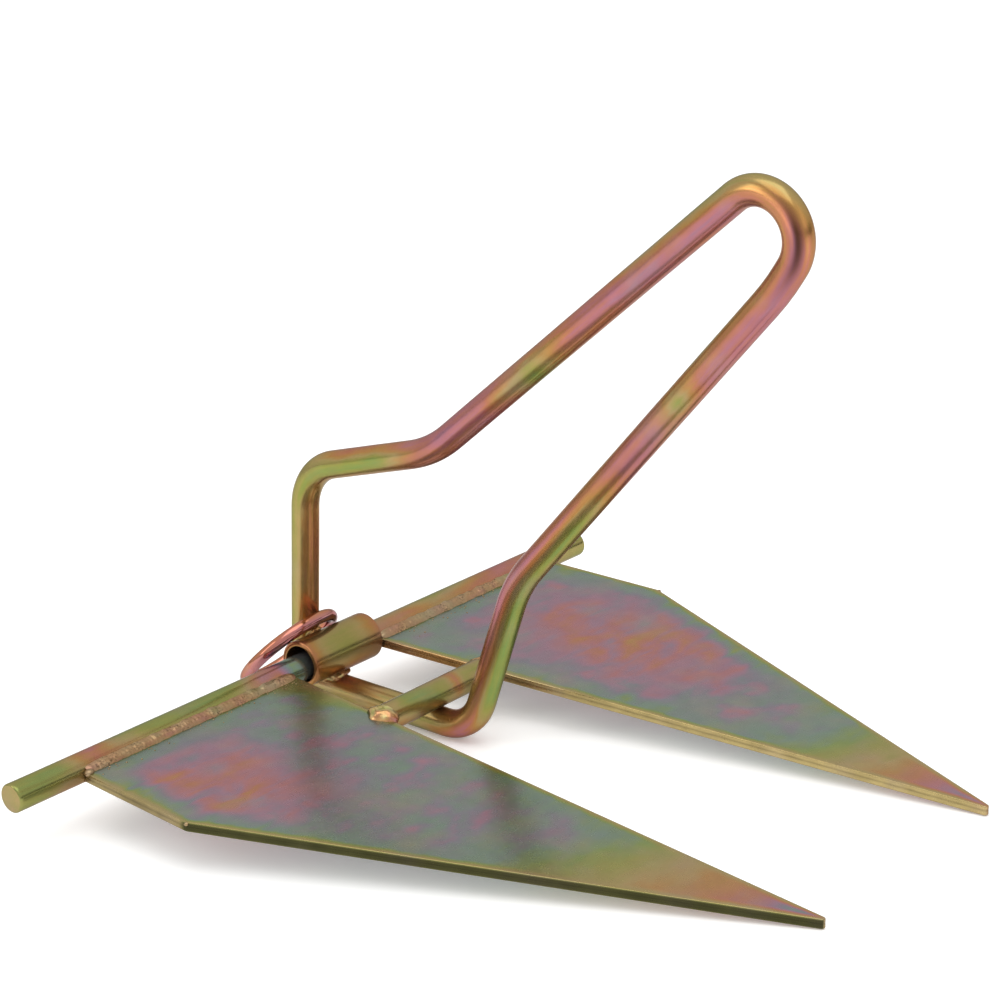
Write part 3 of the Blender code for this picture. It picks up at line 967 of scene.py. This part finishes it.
def build_floor():
    """Round sheet of near-white paper, with a faint unevenness."""
    nodes = Nodes("studio_paper")
    place = nodes.add("ShaderNodeTexCoord").outputs["Object"]
    tone = nodes.noise(nodes.scaled(place, (1.0 / MM,) * 3), 900.0, 2.0)
    colour = nodes.mix(nodes.ramp(tone, -1.0, 1.0), *FLOOR_SHADES)
    nodes.feed(nodes.shader.inputs["Base Color"], colour)
    nodes.shader.inputs["Roughness"].default_value = 0.9
    nodes.shader.inputs["Specular IOR Level"].default_value = 0.1
    nodes.shader.inputs["Emission Color"].default_value = (1.0, 1.0, 1.0, 1.0)
    nodes.shader.inputs["Emission Strength"].default_value = FLOOR_GLOW
    bm = bmesh.new()
    bmesh.ops.create_circle(bm, cap_ends=True, segments=96, radius=FLOOR_RADIUS)
    mesh = bpy.data.meshes.new("floor")
    bm.to_mesh(mesh)
    bm.free()
    mesh.materials.append(nodes.material)
    floor = bpy.data.objects.new("floor", mesh)
    floor.location.z = FLOOR_Z
    bpy.context.collection.objects.link(floor)


SKY = ((0.0, 0.50), (0.04, 0.60), (0.12, 0.85), (0.35, 0.93), (1.0, 0.95))   # height, level
FLAG_SIDE = (-0.375, 0.927, 0.0)    # the way from the anchor to the middle of the dark flag
FLAG_EDGE = (0.80, 0.90)            # cosines from that way where the flag starts and is full
FLAG_TOP = (0.22, 0.14)             # heights where it starts and is full
FLAG_LEVEL = 0.06


def build_world():
    """Pale studio, darker towards the floor, with a dark flag low down on one side.

    The flag is seen in the photo as a line along the round bars.
    """
    world = bpy.data.worlds.new("studio")
    world.use_nodes = True
    tree = world.node_tree

    def join(output, node, socket):
        tree.links.new(output, node.inputs[socket])

    place = tree.nodes.new("ShaderNodeTexCoord").outputs["Generated"]
    split = tree.nodes.new("ShaderNodeSeparateXYZ")
    join(place, split, 0)
    height = split.outputs["Z"]

    sky = tree.nodes.new("ShaderNodeValToRGB")
    join(height, sky, 0)
    elements = sky.color_ramp.elements
    while len(elements) > 1:
        elements.remove(elements[-1])
    for i, (position, level) in enumerate(SKY):
        element = elements[0] if i == 0 else elements.new(position)
        element.position = position
        element.color = (level, level, level, 1.0)

    side = tree.nodes.new("ShaderNodeVectorMath")
    side.operation = "DOT_PRODUCT"
    side.inputs[1].default_value = FLAG_SIDE
    join(place, side, 0)
    flag = tree.nodes.new("ShaderNodeMath")
    flag.operation = "MULTIPLY"
    for i, (source, span) in enumerate(((side.outputs["Value"], FLAG_EDGE), (height, FLAG_TOP))):
        share = tree.nodes.new("ShaderNodeMapRange")
        share.interpolation_type = "SMOOTHSTEP"
        share.inputs["From Min"].default_value, share.inputs["From Max"].default_value = span
        join(source, share, "Value")
        join(share.outputs[0], flag, i)

    shade = tree.nodes.new("ShaderNodeMix")
    shade.data_type = "RGBA"
    shade.inputs[7].default_value = (FLAG_LEVEL,) * 3 + (1.0,)
    join(flag.outputs[0], shade, 0)
    join(sky.outputs["Color"], shade, 6)
    background = tree.nodes["Background"]
    join(shade.outputs[2], background, "Color")
    background.inputs["Strength"].default_value = 1.0
    bpy.context.scene.world = world


STAGE_MIDDLE = Vector((0.0, 0.0, 0.08))


def area_light(name, location, size, power):
    """Rectangular softbox that faces the middle of the stage."""
    data = bpy.data.lights.new(name, "AREA")
    data.shape = "RECTANGLE"
    data.size, data.size_y = size
    data.energy = power
    light = bpy.data.objects.new(name, data)
    light.location = location
    to_middle = STAGE_MIDDLE - Vector(location)
    light.rotation_euler = to_middle.to_track_quat("-Z", "Y").to_euler()
    bpy.context.collection.objects.link(light)


def build_lights():
    area_light("overhead_softbox", (0.25, 0.2, 1.6), (1.4, 1.4), 9.0)
    area_light("side_softbox", (1.4, -0.9, 1.0), (0.5, 1.1), 4.0)


CAMERA_PLACE = (0.75306, 0.63383, 0.43413)      # solved together with the anchor's size
CAMERA_TURN = (72.0846, 3.2592, 129.9953)
CAMERA_LENS = 96.197


def build_camera():
    data = bpy.data.cameras.new("camera")
    data.lens = CAMERA_LENS
    data.sensor_width = 36.0
    data.clip_start = 0.05
    data.clip_end = 50.0
    camera = bpy.data.objects.new("camera", data)
    camera.location = CAMERA_PLACE
    camera.rotation_euler = [math.radians(a) for a in CAMERA_TURN]
    bpy.context.collection.objects.link(camera)
    bpy.context.scene.camera = camera


build_object()
build_floor()
build_world()
build_lights()
build_camera()
bpy.context.scene.view_settings.view_transform = "Standard"

bpy.context.view_layer.update()
